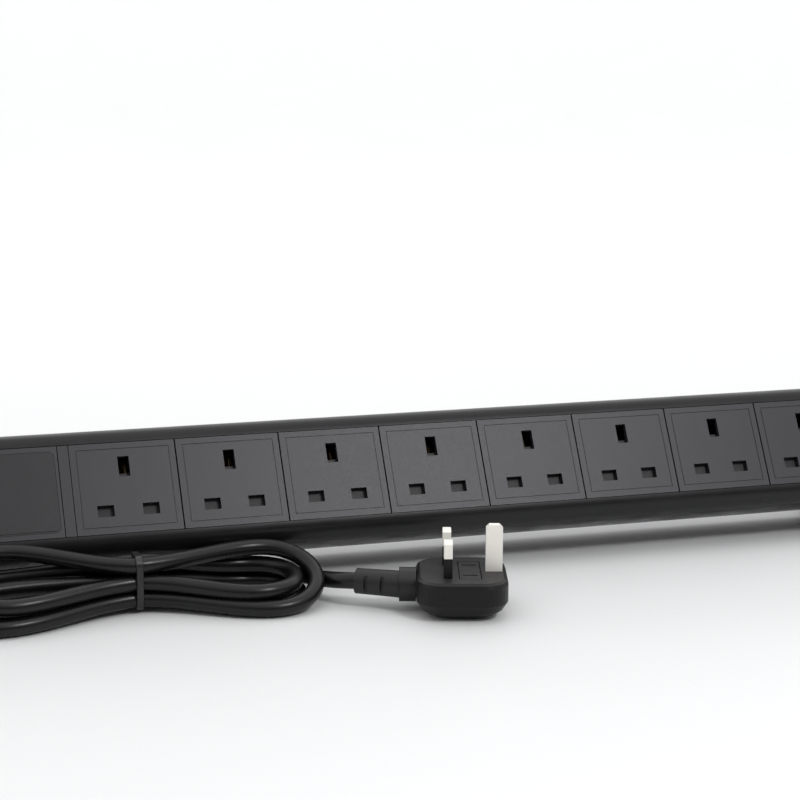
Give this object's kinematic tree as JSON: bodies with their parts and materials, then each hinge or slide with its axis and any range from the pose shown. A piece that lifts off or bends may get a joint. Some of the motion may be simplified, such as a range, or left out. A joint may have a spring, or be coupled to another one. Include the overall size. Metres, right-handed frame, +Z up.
{
  "type": "rack power strip",
  "caption": "Black rack power strip with shuttered three-pin outlets in an extruded body, angled feet, and a mains lead with a fused plug, folded into a tied hank.",
  "frame": {"origin": "middle of the strip between its two feet, on the surface that the feet stand on", "axes": "+X along the strip away from the lead, +Y from the outlets towards the back, +Z up"},
  "size_m": [0.6129, 0.1645, 0.0759],
  "materials": {
    "body_black": "satin black anodised extrusion",
    "cap_black": "satin black powder coat",
    "foot_black": "textured black powder coat",
    "screw_steel": "zinc-plated steel",
    "socket_grey": "fine-textured dark grey moulding",
    "bezel_grey": "fine-textured dark grey moulding",
    "badge_gloss": "glossy black resin dome",
    "spacer_grey": "matte dark grey moulding",
    "shutter_black": "matte black moulding",
    "spring_steel": "bright spring wire",
    "bar_brass": "bright rolled brass",
    "tray_cream": "cream insulating moulding",
    "core_brown": "brown core insulation",
    "core_blue": "blue core insulation",
    "core_green": "green and yellow core insulation",
    "gland_black": "black nylon",
    "relief_rubber": "soft black moulding",
    "cord_black": "glossy black PVC sheath",
    "tie_black": "black nylon",
    "plug_black": "satin black moulding",
    "pin_nickel": "nickel-plated brass",
    "fuse_ceramic": "glazed ceramic with metal caps"
  },
  "bodies": {
    "chassis": {"housing": "body_black", "end_cap_left": "cap_black", "end_cap_right": "cap_black", "end_cap_screws": "screw_steel", "foot_left": "foot_black", "foot_right": "foot_black", "foot_screws": "screw_steel", "badge_bezel": "bezel_grey", "badge_plate": "badge_gloss", "blank_spacer": "spacer_grey", "socket_1": "socket_grey", "socket_2": "socket_grey", "socket_3": "socket_grey", "socket_4": "socket_grey", "socket_5": "socket_grey", "socket_6": "socket_grey", "socket_7": "socket_grey", "socket_8": "socket_grey", "shutter_springs": "spring_steel", "busbar_live": "bar_brass", "busbar_neutral": "bar_brass", "busbar_earth": "bar_brass", "busbar_tray": "tray_cream", "earth_bond_strap": "bar_brass", "terminal_block": "tray_cream", "terminal_screws": "screw_steel", "core_live": "core_brown", "core_neutral": "core_blue", "core_earth": "core_green", "cable_gland": "gland_black", "gland_nut": "gland_black", "gland_locknut": "gland_black", "strain_relief": "relief_rubber", "lead_sheath": "cord_black", "cord_lead": "cord_black", "cord_hank": "cord_black", "cord_tail": "cord_black", "cable_tie": "tie_black", "plug_body": "plug_black", "plug_strain_relief": "relief_rubber", "plug_pin_earth": "pin_nickel", "plug_pin_live": "pin_nickel", "plug_pin_neutral": "pin_nickel", "plug_pin_sleeves": "plug_black", "plug_fuse_contacts": "bar_brass"},
    "shutter_1_body": {"shutter_1": "shutter_black"},
    "shutter_2_body": {"shutter_2": "shutter_black"},
    "shutter_3_body": {"shutter_3": "shutter_black"},
    "shutter_4_body": {"shutter_4": "shutter_black"},
    "shutter_5_body": {"shutter_5": "shutter_black"},
    "shutter_6_body": {"shutter_6": "shutter_black"},
    "shutter_7_body": {"shutter_7": "shutter_black"},
    "shutter_8_body": {"shutter_8": "shutter_black"},
    "fuse_drawer": {"plug_fuse_carrier": "plug_black", "plug_fuse": "fuse_ceramic"}
  },
  "joints": [
    {"name": "shutter_1_slide", "type": "slide", "parent": "chassis", "child": "shutter_1_body", "axis": [0, -0.515, -0.8572], "range_m": [0, 0.0062], "stiffness_N_per_m": 120, "springref_m": -0.003},
    {"name": "shutter_2_slide", "type": "slide", "parent": "chassis", "child": "shutter_2_body", "axis": [0, -0.515, -0.8572], "range_m": [0, 0.0062], "stiffness_N_per_m": 120, "springref_m": -0.003},
    {"name": "shutter_3_slide", "type": "slide", "parent": "chassis", "child": "shutter_3_body", "axis": [0, -0.515, -0.8572], "range_m": [0, 0.0062], "stiffness_N_per_m": 120, "springref_m": -0.003},
    {"name": "shutter_4_slide", "type": "slide", "parent": "chassis", "child": "shutter_4_body", "axis": [0, -0.515, -0.8572], "range_m": [0, 0.0062], "stiffness_N_per_m": 120, "springref_m": -0.003},
    {"name": "shutter_5_slide", "type": "slide", "parent": "chassis", "child": "shutter_5_body", "axis": [0, -0.515, -0.8572], "range_m": [0, 0.0062], "stiffness_N_per_m": 120, "springref_m": -0.003},
    {"name": "shutter_6_slide", "type": "slide", "parent": "chassis", "child": "shutter_6_body", "axis": [0, -0.515, -0.8572], "range_m": [0, 0.0062], "stiffness_N_per_m": 120, "springref_m": -0.003},
    {"name": "shutter_7_slide", "type": "slide", "parent": "chassis", "child": "shutter_7_body", "axis": [0, -0.515, -0.8572], "range_m": [0, 0.0062], "stiffness_N_per_m": 120, "springref_m": -0.003},
    {"name": "shutter_8_slide", "type": "slide", "parent": "chassis", "child": "shutter_8_body", "axis": [0, -0.515, -0.8572], "range_m": [0, 0.0062], "stiffness_N_per_m": 120, "springref_m": -0.003},
    {"name": "fuse_carrier_pull", "type": "slide", "parent": "chassis", "child": "fuse_drawer", "axis": [0, 0, 1], "range_m": [0, 0.012]}
  ]
}
